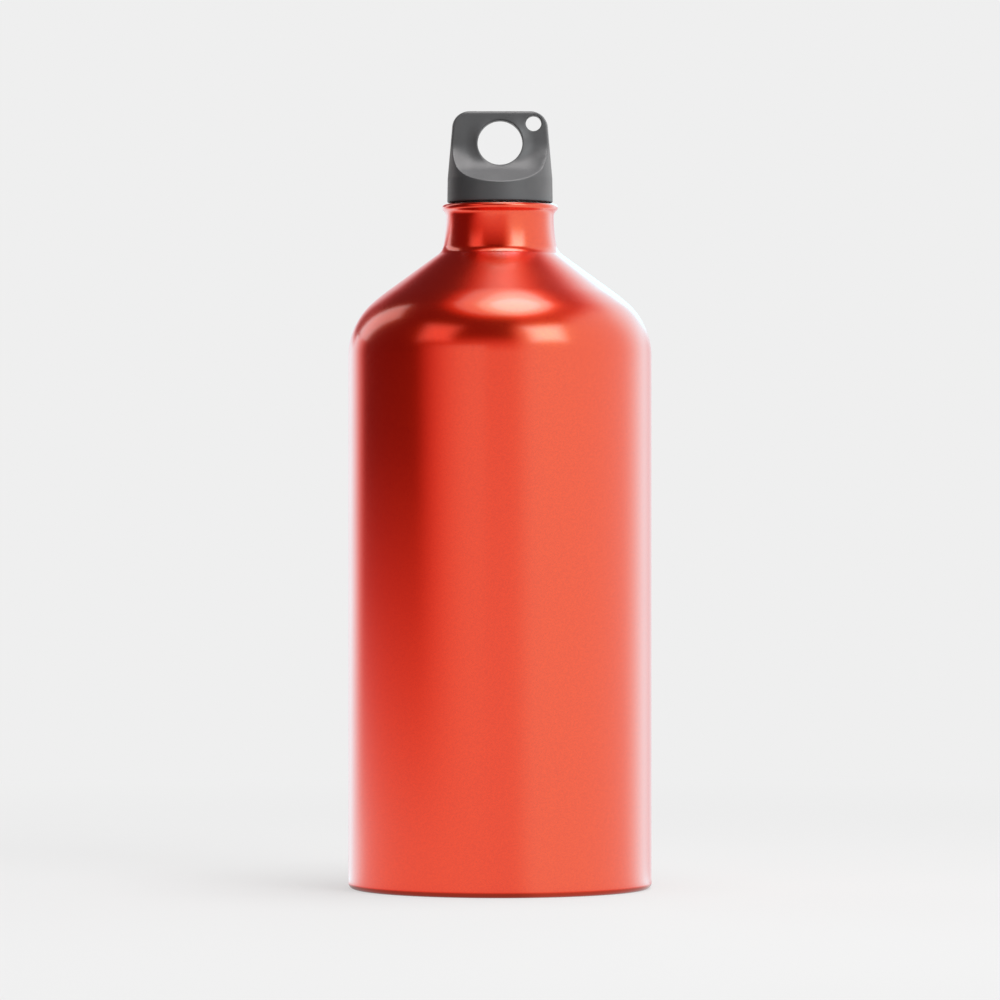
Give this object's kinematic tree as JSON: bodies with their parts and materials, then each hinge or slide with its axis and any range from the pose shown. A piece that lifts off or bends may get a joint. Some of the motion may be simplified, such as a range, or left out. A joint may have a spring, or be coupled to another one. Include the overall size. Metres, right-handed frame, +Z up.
{
  "type": "water bottle",
  "caption": "Slim round metal drinking bottle with a domed base, sloping shoulder, short necked mouth with a rolled lip, and a screw cap that ends in a flat carry loop.",
  "frame": {"origin": "middle of the ring that the bottle stands on, on the bottle's axis", "axes": "+Z up along the bottle's axis; the carry loop's two faces look along -Y and +Y, and its small corner hole is at +X"},
  "size_m": [0.081, 0.081, 0.2075],
  "materials": {
    "red_lacquer": "satin metallic red lacquer on aluminium",
    "bare_aluminium": "turned, uncoated",
    "silicone": "smooth moulded silicone",
    "plug_plastic": "smooth moulded polypropylene",
    "cap_plastic": "finely eroded moulded polypropylene, matte"
  },
  "bodies": {
    "bottle": {"bottle_body": "red_lacquer", "neck_thread_ring": "bare_aluminium"},
    "seal": {"seal_ring": "silicone"},
    "cap": {"cap_shell": "cap_plastic", "thread_plug": "plug_plastic"}
  },
  "joints": [
    {"name": "cap_lift", "type": "slide", "parent": "bottle", "child": "seal", "axis": [0, 0, 1], "range_m": [0, 0.0128]},
    {"name": "cap_turn", "type": "hinge", "parent": "seal", "child": "cap", "pos_m": [0, 0, 0.18318], "axis": [0, 0, 1], "range_deg": [0, 1440]}
  ],
  "couplings": [
    {"joint": "cap_lift", "follows": "cap_turn", "m_per_rad": 0.00050929}
  ]
}
